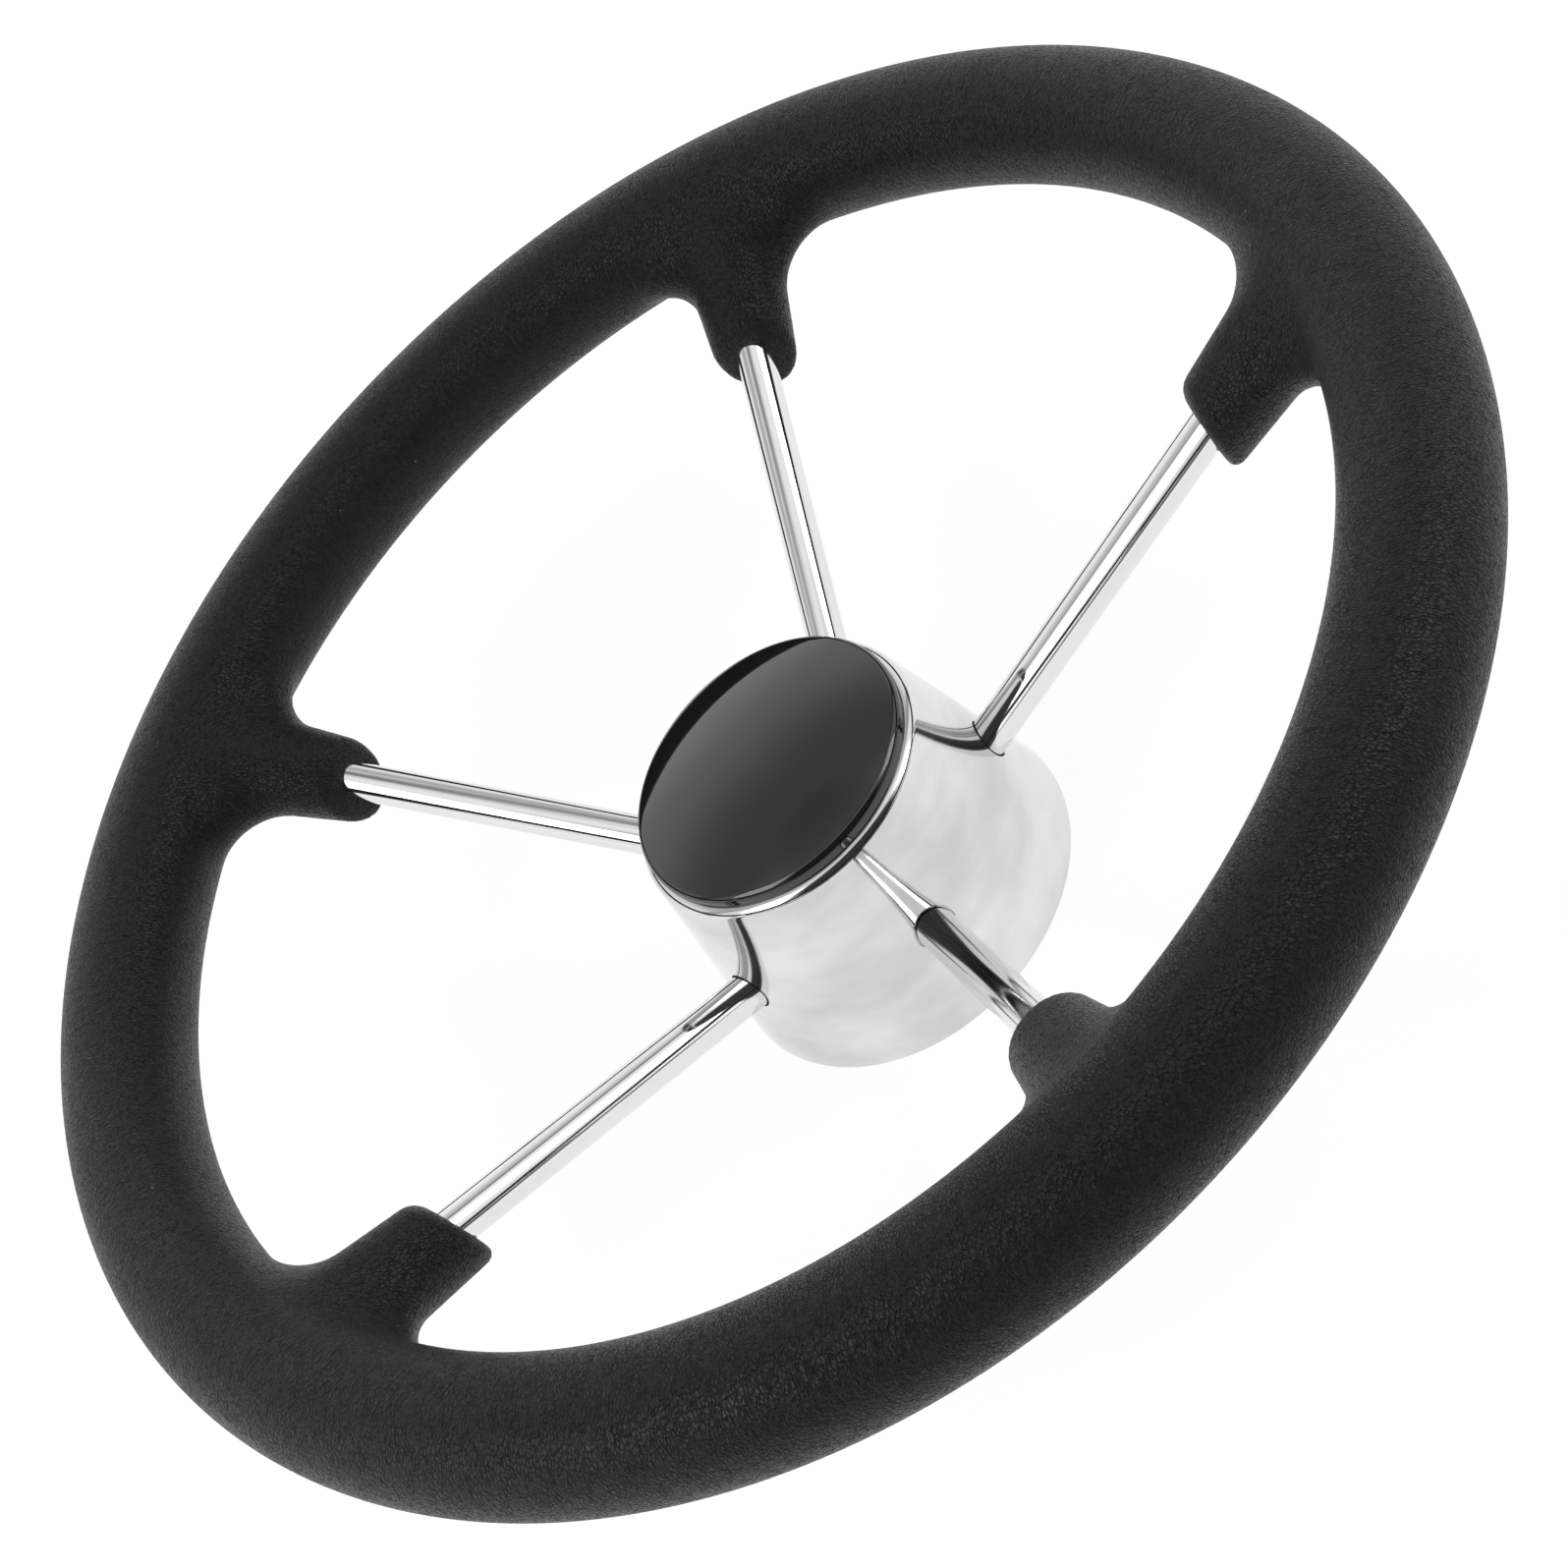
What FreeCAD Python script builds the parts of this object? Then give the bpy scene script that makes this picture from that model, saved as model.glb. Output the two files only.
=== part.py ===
import FreeCAD, Part
import math
import os

# Boat steering wheel, sizes in millimetres and degrees.
# The origin is the centre of the hub's back, and +Z runs along the shaft towards the helmsman.

# Rim: a foam grip moulded round a steel ring.
rim_outer_diameter = 342.9
grip_diameter = 30.0
ring_diameter = 12.0
ring_wall = 1.5

# Spokes: straight bars that slope forward from the boss to the inner side of the ring.
spoke_count = 5
first_spoke_angle = -90.0
spoke_diameter = 9.0
spoke_slope = 26.2
spoke_height_at_boss = 14.3
spoke_rise_at_ring = 1.0
boss_weld_leg = 2.4
ring_weld_leg = 1.0

# Boots: the parts of the grip that reach down round the outer ends of the spokes.
boot_reach = 41.2
boot_tip_wall = 5.0
boot_flare = 4.5
boot_front_inset = 1.2
boot_setback = 0.5
boot_tip_rounding = 2.8
boot_blend_radius = 14.0

# Hub shell: a spun cone, open at the back, with its front edge rolled in to a lip.
hub_front_diameter = 68.8
hub_height = 52.8
hub_draft = 10.03
hub_wall = 1.5
hub_edge_radius = 2.5
hub_back_rounding = 0.6
lip_width = 5.0
spoke_hole_clearance = 0.1

# Boss: the turned sleeve that takes the tapered shaft.
bore_diameter = 19.05
bore_taper_ratio = 12.0
keyway_width = 4.76
keyway_depth = 2.4
boss_wall = 8.5
boss_length = 36.0
boss_chamfer = 0.8
spigot_wall = 4.5

# Plate: the disc that ties the boss to the shell.
plate_thickness = 3.0
plate_setback = 2.0
plate_clearance = 0.05

# Centre cap: a moulded cover with snap fingers that go down inside the lip.
cap_setback = 1.4
cap_edge_height = 2.9
cap_dome_rise = 5.4
cap_edge_rounding = 2.0
cap_wall = 2.0
cap_finger_count = 6
cap_finger_wall = 1.6
cap_finger_length = 7.0
cap_finger_slot = 5.0
cap_finger_clearance = 0.45
cap_bead_height = 0.3
cap_bead_width = 1.6

# Worked out from the sizes above.
Z_AXIS = FreeCAD.Vector(0, 0, 1)
ORIGIN = FreeCAD.Vector(0, 0, 0)
slope = math.radians(spoke_slope)
draft = math.radians(hub_draft)
grip_radius = grip_diameter / 2
ring_radius = ring_diameter / 2
spoke_radius = spoke_diameter / 2
ring_path_radius = rim_outer_diameter / 2 - grip_radius
spoke_end_radius = ring_path_radius - ring_radius
bore_radius = bore_diameter / 2
boss_radius = bore_radius + boss_wall
spigot_radius = bore_radius + spigot_wall
spoke_climb = (spoke_end_radius - boss_radius) * math.tan(slope)
rim_height = spoke_height_at_boss + spoke_climb - spoke_rise_at_ring
rim_centre = FreeCAD.Vector(0, 0, rim_height)
hub_front_radius = hub_front_diameter / 2
hub_back_radius = hub_front_radius + hub_height * math.tan(draft)
wall_across = hub_wall / math.cos(draft)
lip_radius = hub_front_radius - lip_width
plate_base = boss_length - plate_setback - plate_thickness


def turned(outline):
    """Solid of revolution about Z from a closed outline of (radius, height) points."""
    points = [FreeCAD.Vector(radius, 0, height) for radius, height in outline]
    face = Part.Face(Part.makePolygon(points + points[:1]))
    return face.revolve(ORIGIN, Z_AXIS, 360)


def rounded_at(shape, radius, height, rounding):
    """Turned solid with its circular edge at one radius and height rounded."""
    found = []
    for edge in shape.Edges:
        box = edge.BoundBox
        at_height = abs(box.ZMin - height) < 1e-3 and abs(box.ZMax - height) < 1e-3
        at_radius = any(abs(math.hypot(v.X, v.Y) - radius) < 1e-3 for v in edge.Vertexes)
        if at_height and at_radius and edge.Length > radius:
            found.append(edge)
    return shape.makeFillet(rounding, found)


def spoke_angle(number):
    return math.radians(first_spoke_angle + number * 360 / spoke_count)


def spoke_direction(number):
    """Unit vector along a spoke, from the hub outwards."""
    angle = spoke_angle(number)
    return FreeCAD.Vector(
        math.cos(slope) * math.cos(angle),
        math.cos(slope) * math.sin(angle),
        math.sin(slope),
    )


def spoke_height(radius):
    """Height of a spoke's centre line at a distance from the shaft's axis."""
    return spoke_height_at_boss + (radius - boss_radius) * math.tan(slope)


def spoke_point(number, radius):
    angle = spoke_angle(number)
    return FreeCAD.Vector(radius * math.cos(angle), radius * math.sin(angle), spoke_height(radius))


def bar(number, radius_in, radius_out, diameter):
    """Cylinder along a spoke's centre line between two distances from the shaft's axis."""
    start = spoke_point(number, radius_in)
    length = (spoke_point(number, radius_out) - start).Length
    return Part.makeCylinder(diameter / 2, length, start, spoke_direction(number))


def solid_ring():
    return Part.makeTorus(ring_path_radius, ring_radius, rim_centre, Z_AXIS)


def rim_ring():
    """Steel tube bent to a circle and butt welded."""
    inside = Part.makeTorus(ring_path_radius, ring_radius - ring_wall, rim_centre, Z_AXIS)
    return solid_ring().cut(inside)


def weld_bead(foot, away, leg):
    """Weld fillet round a spoke: a collar through the wall it meets, then a cone of one leg."""
    overrun = spoke_radius
    collar_radius = spoke_radius + leg
    collar = Part.makeCylinder(collar_radius, overrun, foot - away * overrun, away)
    cone = Part.makeCone(collar_radius, spoke_radius, leg, foot, away)
    return collar.fuse(cone)


def spoke(number):
    """Polished bar with its weld fillets, coped to the boss and to the ring."""
    outward = spoke_direction(number)
    rod = bar(number, boss_radius / 2, ring_path_radius, spoke_diameter)
    boss_weld = weld_bead(spoke_point(number, boss_radius), outward, boss_weld_leg)
    ring_weld = weld_bead(spoke_point(number, spoke_end_radius), outward * -1, ring_weld_leg)
    boss_core = Part.makeCylinder(boss_radius, boss_length)
    return rod.fuse([boss_weld, ring_weld]).cut([boss_core, solid_ring()]).removeSplitter()


def boot_section(radius, width, thickness):
    """Oval across the boot of a spoke along +X, at a distance from the shaft's axis."""
    oval = Part.Wire(Part.makeCircle(1 / 2))
    stretch = FreeCAD.Matrix()
    stretch.scale(thickness, width, 1)
    oval = oval.transformGeometry(stretch)
    oval.rotate(ORIGIN, FreeCAD.Vector(0, 1, 0), -90 - spoke_slope)
    frontwards = FreeCAD.Vector(-math.sin(slope), 0, math.cos(slope))
    on_spoke = FreeCAD.Vector(radius, 0, spoke_height(radius))
    oval.translate(on_spoke - frontwards * boot_setback)
    return oval


def boot():
    """Tapered oval boot for a spoke along +X, with an upright end face and a rounded tip."""
    tip_radius = ring_path_radius - boot_reach
    tip_size = spoke_diameter + 2 * boot_tip_wall
    front_offset = (spoke_height(ring_path_radius) - rim_height) * math.cos(slope) - boot_setback
    root_width = tip_size + 2 * boot_flare
    root_thickness = 2 * (grip_radius - boot_front_inset - front_offset)

    # The loft runs on past the tip at the same taper, and the end face is cut from it.
    overrun = tip_size / 2
    width_change = overrun * (root_width - tip_size) / boot_reach
    thickness_change = overrun * (root_thickness - tip_size) / boot_reach
    root = boot_section(ring_path_radius, root_width, root_thickness)
    end = boot_section(tip_radius - overrun, tip_size - width_change, tip_size - thickness_change)
    body = Part.makeLoft([root, end], True, True)
    past_tip = Part.makeBox(
        ring_path_radius,
        ring_path_radius,
        rim_height * 2,
        FreeCAD.Vector(tip_radius - ring_path_radius, -ring_path_radius / 2, 0),
    )
    body = body.cut(past_tip)
    tip_edges = [edge for edge in body.Edges if edge.BoundBox.XMax < tip_radius + 0.01]
    return body.makeFillet(boot_tip_rounding, tip_edges)


def is_crease(shape, edge):
    """True for an edge where the side of a boot meets the round cover of the ring."""
    surfaces = [face.Surface for face in shape.ancestorsOfType(edge, Part.Face)]
    covers = [s for s in surfaces if isinstance(s, Part.Toroid) and abs(s.MinorRadius - grip_radius) < 1e-3]
    flats = [s for s in surfaces if isinstance(s, Part.Plane)]
    return len(surfaces) == 2 and len(covers) == 1 and not flats


def grip_sector():
    """One spoke's share of the grip, with the boot blended into the ring's cover."""
    share = 360 / spoke_count
    section_centre = FreeCAD.Vector(ring_path_radius, 0, rim_height)
    section = Part.makeCircle(grip_radius, section_centre, FreeCAD.Vector(0, 1, 0))
    face = Part.Face(Part.Wire(section))
    face.rotate(ORIGIN, Z_AXIS, -share / 2)
    cover = face.revolve(ORIGIN, Z_AXIS, share)
    joined = cover.fuse(boot()).removeSplitter()
    creases = [edge for edge in joined.Edges if is_crease(joined, edge)]
    return joined.makeFillet(boot_blend_radius, creases)


def foam_grip(spokes):
    """Grip moulded in one piece round the ring, with a boot round the end of each spoke."""
    sector = grip_sector()
    sectors = []
    for number in range(spoke_count):
        copy = sector.copy()
        copy.rotate(ORIGIN, Z_AXIS, math.degrees(spoke_angle(number)))
        sectors.append(copy)
    whole = sectors[0].fuse(sectors[1:]).removeSplitter()
    return whole.cut([solid_ring()] + spokes)


def shell_inside(height):
    """Inner radius of the hub shell at a height above its back."""
    return hub_back_radius - wall_across - height * math.tan(draft)


def hub_shell():
    """Spun cone with a rolled front edge, a lip and a tight hole for each spoke."""
    lip_base = hub_height - hub_wall
    outline = [
        (hub_back_radius, 0),
        (hub_front_radius, hub_height),
        (lip_radius, hub_height),
        (lip_radius, lip_base),
        (shell_inside(lip_base), lip_base),
        (shell_inside(0), 0),
    ]
    inner_rounding = max(hub_edge_radius - hub_wall, hub_back_rounding)
    shell = turned(outline)
    shell = rounded_at(shell, hub_front_radius, hub_height, hub_edge_radius)
    shell = rounded_at(shell, shell_inside(lip_base), lip_base, inner_rounding)
    shell = rounded_at(shell, hub_back_radius, 0, hub_back_rounding)
    hole = spoke_diameter + 2 * spoke_hole_clearance
    holes = [bar(number, boss_radius, 2 * hub_back_radius, hole) for number in range(spoke_count)]
    return shell.cut(holes)


def hub_boss():
    """Turned sleeve with a tapered, keyed bore and a spigot for the plate."""
    outline = [
        (0, 0),
        (boss_radius - boss_chamfer, 0),
        (boss_radius, boss_chamfer),
        (boss_radius, plate_base),
        (spigot_radius, plate_base),
        (spigot_radius, boss_length - boss_chamfer),
        (spigot_radius - boss_chamfer, boss_length),
        (0, boss_length),
    ]
    front_bore_radius = bore_radius - boss_length / bore_taper_ratio / 2
    bore = Part.makeCone(bore_radius, front_bore_radius, boss_length)
    keyway_corner = FreeCAD.Vector(-keyway_width / 2, 0, 0)
    keyway = Part.makeBox(keyway_width, bore_radius + keyway_depth, boss_length, keyway_corner)
    return turned(outline).cut([bore, keyway])


def hub_plate():
    """Disc pressed over the boss's spigot and welded inside the shell."""
    hole_radius = spigot_radius + plate_clearance
    plate_top = plate_base + plate_thickness
    outline = [
        (hole_radius, plate_base),
        (shell_inside(plate_base) - plate_clearance, plate_base),
        (shell_inside(plate_top) - plate_clearance, plate_top),
        (hole_radius, plate_top),
    ]
    return turned(outline)


def cap_cover(radius, inset):
    """Disc on the lip's plane with a domed top, all of it an inset below the cap's face."""
    face_radius = hub_front_radius - cap_setback
    sphere_radius = (face_radius ** 2 + cap_dome_rise ** 2) / (2 * cap_dome_rise)
    crown = hub_height + cap_edge_height + cap_dome_rise
    sphere_centre = FreeCAD.Vector(0, 0, crown - sphere_radius)
    disc = Part.makeCylinder(radius, crown, FreeCAD.Vector(0, 0, hub_height))
    return disc.common(Part.makeSphere(sphere_radius - inset, sphere_centre))


def cap_fingers(outside, inside):
    """Ring of spring fingers, parted by slots, each with a bead near its end."""
    foot = hub_height - cap_finger_length
    root = hub_height + cap_edge_height / 2
    fingers = turned(
        [
            (inside, root),
            (inside, foot),
            (outside - cap_bead_height, foot),
            (outside + cap_bead_height, foot + cap_bead_width / 2),
            (outside + cap_bead_height, foot + cap_bead_width),
            (outside, foot + cap_bead_width + cap_bead_height),
            (outside, root),
        ]
    )
    slot_corner = FreeCAD.Vector(0, -cap_finger_slot / 2, foot)
    for number in range(cap_finger_count):
        slot = Part.makeBox(hub_front_radius, cap_finger_slot, cap_finger_length, slot_corner)
        slot.rotate(ORIGIN, Z_AXIS, number * 360 / cap_finger_count)
        fingers = fingers.cut(slot)
    return fingers


def centre_cap():
    """Domed cover that sits on the lip, hollow below, with its snap fingers."""
    radius = hub_front_radius - cap_setback
    finger_outside = lip_radius - cap_finger_clearance
    finger_inside = finger_outside - cap_finger_wall
    edge_top = hub_height + cap_edge_height
    cover = rounded_at(cap_cover(radius, 0), radius, edge_top, cap_edge_rounding)
    cover = cover.cut(cap_cover(finger_inside, cap_wall))
    return cover.fuse(cap_fingers(finger_outside, finger_inside)).removeSplitter()


def checked(name, shape):
    if not shape.isValid():
        raise ValueError(name + " is not a valid shape")
    if len(shape.Solids) != 1:
        raise ValueError(name + " is not one solid")
    return shape


spokes = [spoke(number) for number in range(spoke_count)]
pieces = {
    "foam_grip": foam_grip(spokes),
    "rim_ring": rim_ring(),
    "hub_shell": hub_shell(),
    "hub_boss": hub_boss(),
    "hub_plate": hub_plate(),
    "centre_cap": centre_cap(),
}
for number in range(spoke_count):
    pieces["spoke_" + str(number + 1)] = spokes[number]

os.makedirs("parts", exist_ok=True)
for name, shape in pieces.items():
    checked(name, shape).exportStep("parts/" + name + ".step")
    print(name, round(shape.Volume / 1000, 2), "cm3", len(shape.Faces), "faces")
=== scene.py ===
import math

import bmesh
import bpy
import numpy as np
from mathutils import Matrix, Vector


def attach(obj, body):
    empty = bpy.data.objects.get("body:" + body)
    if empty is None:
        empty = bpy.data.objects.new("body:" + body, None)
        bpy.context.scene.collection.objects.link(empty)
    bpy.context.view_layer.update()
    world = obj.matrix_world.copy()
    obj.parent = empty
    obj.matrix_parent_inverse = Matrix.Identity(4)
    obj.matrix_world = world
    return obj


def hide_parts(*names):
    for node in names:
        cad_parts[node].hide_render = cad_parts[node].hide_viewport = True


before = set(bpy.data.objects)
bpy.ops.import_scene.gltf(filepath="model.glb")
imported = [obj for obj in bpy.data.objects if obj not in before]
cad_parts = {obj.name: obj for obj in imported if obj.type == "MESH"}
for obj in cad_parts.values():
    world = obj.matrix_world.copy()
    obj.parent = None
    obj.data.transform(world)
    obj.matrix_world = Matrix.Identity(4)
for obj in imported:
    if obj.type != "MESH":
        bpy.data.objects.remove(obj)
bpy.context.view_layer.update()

# Camera: in front of the wheel and below its axis, rolled so that the bottom spoke points to the lower left.
# The lens and the place were fitted to the rim, the spokes, the hub and the cap.
camera_elevation = math.radians(41.66)
camera_roll = math.radians(-46.67)
camera_place = Vector((0.0, -0.4546, 0.4522))
towards_camera = Vector((0.0, -math.cos(camera_elevation), math.sin(camera_elevation)))
level_right = Vector((1.0, 0.0, 0.0))
level_up = Vector((0.0, math.sin(camera_elevation), math.cos(camera_elevation)))
picture_right = math.cos(camera_roll) * level_right + math.sin(camera_roll) * level_up
picture_up = math.cos(camera_roll) * level_up - math.sin(camera_roll) * level_right
lens = bpy.data.cameras.new("camera")
lens.sensor_width = 36.0
lens.lens = 65.57
lens.clip_start = 0.01
lens.clip_end = 50.0
camera = bpy.data.objects.new("camera", lens)
bpy.context.scene.collection.objects.link(camera)
turn = Matrix((picture_right, picture_up, towards_camera)).transposed().to_4x4()
camera.matrix_world = Matrix.Translation(camera_place) @ turn
bpy.context.scene.camera = camera
bpy.context.scene.view_settings.view_transform = "Standard"


# Studio: a plain pale floor under the wheel, a light tent round it, and two softboxes.
# Only reflections show the tent's darker parts and its seams. The camera sees it plain white.
def plug(tree, socket, value):
    """Links a node's result to a socket, or sets the socket's own value."""
    if isinstance(value, bpy.types.NodeSocket):
        tree.links.new(value, socket)
    else:
        socket.default_value = value


def add(tree, kind, inputs=None, **settings):
    """One node, with its settings and what goes into its sockets."""
    node = tree.nodes.new(kind)
    for name, value in settings.items():
        setattr(node, name, value)
    for key, value in (inputs or {}).items():
        plug(tree, node.inputs[key], value)
    return node


def calc(tree, operation, *values):
    """One step of a rule, as a maths node."""
    return add(tree, "ShaderNodeMath", dict(enumerate(values)), operation=operation).outputs[0]


def grey(level):
    return (level, level, level, 1.0)


def towards(azimuth, elevation):
    """Direction from the wheel into the studio, from two angles in degrees."""
    around, above = math.radians(azimuth), math.radians(elevation)
    return (math.cos(above) * math.cos(around), math.cos(above) * math.sin(around), math.sin(above))


floor_level = 1.13
floor_glow = 0.84
floor_bounce = 0.5
floor_reach = 4.0
floor_height = -0.0002
room_light = 0.50
roof_loss = -0.52
roof_droop = 0.22

world = bpy.data.worlds.new("studio")
bpy.context.scene.world = world
world.use_nodes = True
tree = world.node_tree
tree.nodes.clear()
rays = add(tree, "ShaderNodeLightPath")
seen = calc(tree, "MAXIMUM", rays.outputs["Is Camera Ray"], rays.outputs["Is Glossy Ray"])
seen = calc(tree, "MAXIMUM", seen, rays.outputs["Is Transmission Ray"])
look = add(tree, "ShaderNodeTexCoord").outputs["Generated"]


def facing(direction):
    """How nearly a look into the room goes one way, from -1 to 1."""
    return add(tree, "ShaderNodeVectorMath", {0: look, 1: direction}, operation="DOT_PRODUCT").outputs["Value"]


def ramp(tree, value, low, high, start=0.0, end=1.0):
    """Smooth step from start to end as a value goes from low to high."""
    node = add(tree, "ShaderNodeMapRange", {0: value, 1: low, 2: high, 3: start, 4: end})
    node.interpolation_type = "SMOOTHSTEP"
    return node.outputs[0]


def opening(azimuth, elevation, near, far, level):
    """Level of the tent round one opening, from that opening's own within near degrees to 1 beyond far."""
    inner, outer = math.cos(math.radians(near)), math.cos(math.radians(far))
    return ramp(tree, facing(towards(azimuth, elevation)), outer, inner, 1.0, level)


# A dark opening in front of the wheel, a brighter patch low behind it, and a roof that is darker towards the back.
dark_front = opening(-92, 25, near=36, far=50, level=0.05)
bright_back = opening(88, 7, near=8, far=27, level=1.22)
room_seen = calc(tree, "MULTIPLY", dark_front, bright_back)
sideways = calc(tree, "ABSOLUTE", facing((1, 0, 0)))
height_seen = calc(tree, "MULTIPLY_ADD", sideways, roof_droop, facing((0, 0, 1)))
overhead = ramp(tree, height_seen, 0.56, 0.88)
beyond = ramp(tree, facing((0, 1, 0)), 0.12, 0.40)
roof = calc(tree, "MULTIPLY_ADD", calc(tree, "MULTIPLY", overhead, beyond), roof_loss, 1.0)
room_seen = calc(tree, "MULTIPLY", room_seen, roof)
room_seen = calc(tree, "MULTIPLY", room_seen, opening(90, 82, near=4, far=20, level=0.62))
# Two seams, each a dark upright strip on one side of the tent.
for azimuth, dark in ((23, 0.35), (162, 0.45)):
    off_seam = calc(tree, "ABSOLUTE", facing(towards(azimuth + 90, 0)))
    behind = ramp(tree, facing(towards(azimuth, 0)), 0.02, 0.10, 1.0, 0.0)
    seam = calc(tree, "MAXIMUM", ramp(tree, off_seam, 0.03, 0.11, dark, 1.0), behind)
    room_seen = calc(tree, "MULTIPLY", room_seen, seam)
lit = add(tree, "ShaderNodeBackground", {"Color": grey(1.0), "Strength": room_light})
shown = add(tree, "ShaderNodeBackground", {"Color": grey(1.0), "Strength": room_seen})
either = add(tree, "ShaderNodeMixShader", {0: seen, 1: lit.outputs[0], 2: shown.outputs[0]})
plain = add(tree, "ShaderNodeBackground", {"Color": grey(1.0), "Strength": 1.0})
straight = rays.outputs["Is Camera Ray"]
whole = add(tree, "ShaderNodeMixShader", {0: straight, 1: either.outputs[0], 2: plain.outputs[0]})
add(tree, "ShaderNodeOutputWorld", {"Surface": whole.outputs[0]})


def flat_sheet(name, west, south, east, north, height):
    """One level face, looking up."""
    sheet_mesh = bpy.data.meshes.new(name)
    corners = [(west, south, height), (east, south, height), (east, north, height), (west, north, height)]
    sheet_mesh.from_pydata(corners, [], [(0, 1, 2, 3)])
    sheet = bpy.data.objects.new(name, sheet_mesh)
    bpy.context.scene.collection.objects.link(sheet)
    return sheet


floor = flat_sheet("floor", -floor_reach, -floor_reach, floor_reach, floor_reach, floor_height)
paper = bpy.data.materials.new("pale_paper")
paper.use_nodes = True
tree = paper.node_tree
tree.nodes.clear()
rays = add(tree, "ShaderNodeLightPath")
seen = calc(tree, "MAXIMUM", rays.outputs["Is Camera Ray"], rays.outputs["Is Glossy Ray"])
seen = calc(tree, "MAXIMUM", seen, rays.outputs["Is Transmission Ray"])
matt = add(tree, "ShaderNodeBsdfDiffuse", {"Color": grey(floor_bounce)})
faint = add(tree, "ShaderNodeBsdfDiffuse", {"Color": grey(floor_level - floor_glow)})
glow = add(tree, "ShaderNodeEmission", {"Color": grey(1.0), "Strength": floor_glow})
both = add(tree, "ShaderNodeAddShader", {0: faint.outputs[0], 1: glow.outputs[0]})
either = add(tree, "ShaderNodeMixShader", {0: seen, 1: matt.outputs[0], 2: both.outputs[0]})
from_below = add(tree, "ShaderNodeNewGeometry").outputs["Backfacing"]
clear = add(tree, "ShaderNodeBsdfTransparent", {"Color": grey(1.0)})
one_sided = add(tree, "ShaderNodeMixShader", {0: from_below, 1: either.outputs[0], 2: clear.outputs[0]})
add(tree, "ShaderNodeOutputMaterial", {"Surface": one_sided.outputs[0]})
floor.data.materials.append(paper)

# Black card on the floor in front of the wheel, which only reflections show.
card_level = 0.14
card_near = -0.30
card_far = -3.0
card_half = 3.0
card = flat_sheet("dark_card", -card_half, card_far, card_half, card_near, 0.0)
felt = bpy.data.materials.new("dark_felt")
felt.use_nodes = True
tree = felt.node_tree
tree.nodes.clear()
dull = add(tree, "ShaderNodeEmission", {"Color": grey(1.0), "Strength": card_level})
add(tree, "ShaderNodeOutputMaterial", {"Surface": dull.outputs[0]})
card.data.materials.append(felt)
card.visible_camera = False
card.visible_diffuse = False
card.visible_shadow = False


def softbox(name, azimuth, elevation, distance, width, height, level):
    """Area lamp aimed at the wheel, as bright to look at as its level says."""
    out = Vector(towards(azimuth, elevation))
    lamp = bpy.data.lights.new(name, "AREA")
    lamp.shape = "RECTANGLE"
    lamp.size = width
    lamp.size_y = height
    lamp.energy = level * math.pi * width * height
    lamp_object = bpy.data.objects.new(name, lamp)
    bpy.context.scene.collection.objects.link(lamp_object)
    lamp_object.matrix_world = Matrix.Translation(out * distance) @ out.to_track_quat("Z", "Y").to_matrix().to_4x4()


softbox("left_box", -162, 40, 1.8, 0.9, 1.1, 2.8)
softbox("right_box", -20, 36, 1.8, 0.7, 0.95, 3.1)

# Foam grip: self-skinned black foam, moulded in one piece over the ring and the ends of the spokes.
# The mould gives it a fine leather grain and leaves a thin parting line round its inner side.
# Its skin is a rule: the ring's round cover and five tapered boots, joined by a rolling-ball blend.
spoke_count = 5
first_spoke = math.radians(-90.0)
spoke_slope = math.radians(26.2)
spoke_rise = math.tan(spoke_slope)
ring_radius = 0.15645
spoke_height_at_ring = 0.082414
boot_setback = 0.0005
# The skin's rule works in millimetres, and everything else in metres.
grip_sizes = {
    "Ring radius": 1000 * ring_radius,
    "Ring height": 78.461,
    "Grip radius": 15.0,
    "Spoke slope": spoke_slope,
    "Spoke height at ring": 1000 * spoke_height_at_ring,
    "Boot setback": 1000 * boot_setback,
    "Boot reach": 41.2,
    "Tip half width": 9.5,
    "Root half width": 14.0,
    "Root half thickness": 10.753,
    "Tip rounding": 2.8,
    "Blend radius": 14.0,
    "First spoke": first_spoke,
    "Spokes": float(spoke_count),
}


def new_rule(name, sizes):
    """Geometry Nodes tree with one named input for each size, and those inputs."""
    rule = bpy.data.node_groups.new(name, "GeometryNodeTree")
    rule.interface.new_socket(name="Mesh", in_out="INPUT", socket_type="NodeSocketGeometry")
    for size, value in sizes.items():
        socket = rule.interface.new_socket(name=size, in_out="INPUT", socket_type="NodeSocketFloat")
        socket.default_value = value
    rule.interface.new_socket(name="Mesh", in_out="OUTPUT", socket_type="NodeSocketGeometry")
    return rule, add(rule, "NodeGroupInput").outputs


def made_by(rule, name, sizes, start=None):
    """Plain mesh object that the tree makes from the sizes, with no modifier left on it."""
    mesh = start or bpy.data.meshes.new(name)
    piece = bpy.data.objects.new(name, mesh)
    bpy.context.scene.collection.objects.link(piece)
    maker = piece.modifiers.new("maker", "NODES")
    maker.node_group = rule
    for item in rule.interface.items_tree:
        if item.in_out == "INPUT" and item.name in sizes:
            maker[item.identifier] = sizes[item.name]
    bpy.context.view_layer.update()
    seen_by = bpy.context.evaluated_depsgraph_get()
    made = bpy.data.meshes.new_from_object(piece.evaluated_get(seen_by))
    piece.modifiers.clear()
    piece.data = made
    made.name = name
    return piece


def new_finish(name):
    """Material with an empty Principled surface, its tree, that surface and Object coordinates."""
    made = bpy.data.materials.new(name)
    made.use_nodes = True
    tree = made.node_tree
    tree.nodes.clear()
    surface = add(tree, "ShaderNodeBsdfPrincipled")
    add(tree, "ShaderNodeOutputMaterial", {"Surface": surface.outputs[0]})
    place = add(tree, "ShaderNodeTexCoord").outputs["Object"]
    return made, tree, surface, place


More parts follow.
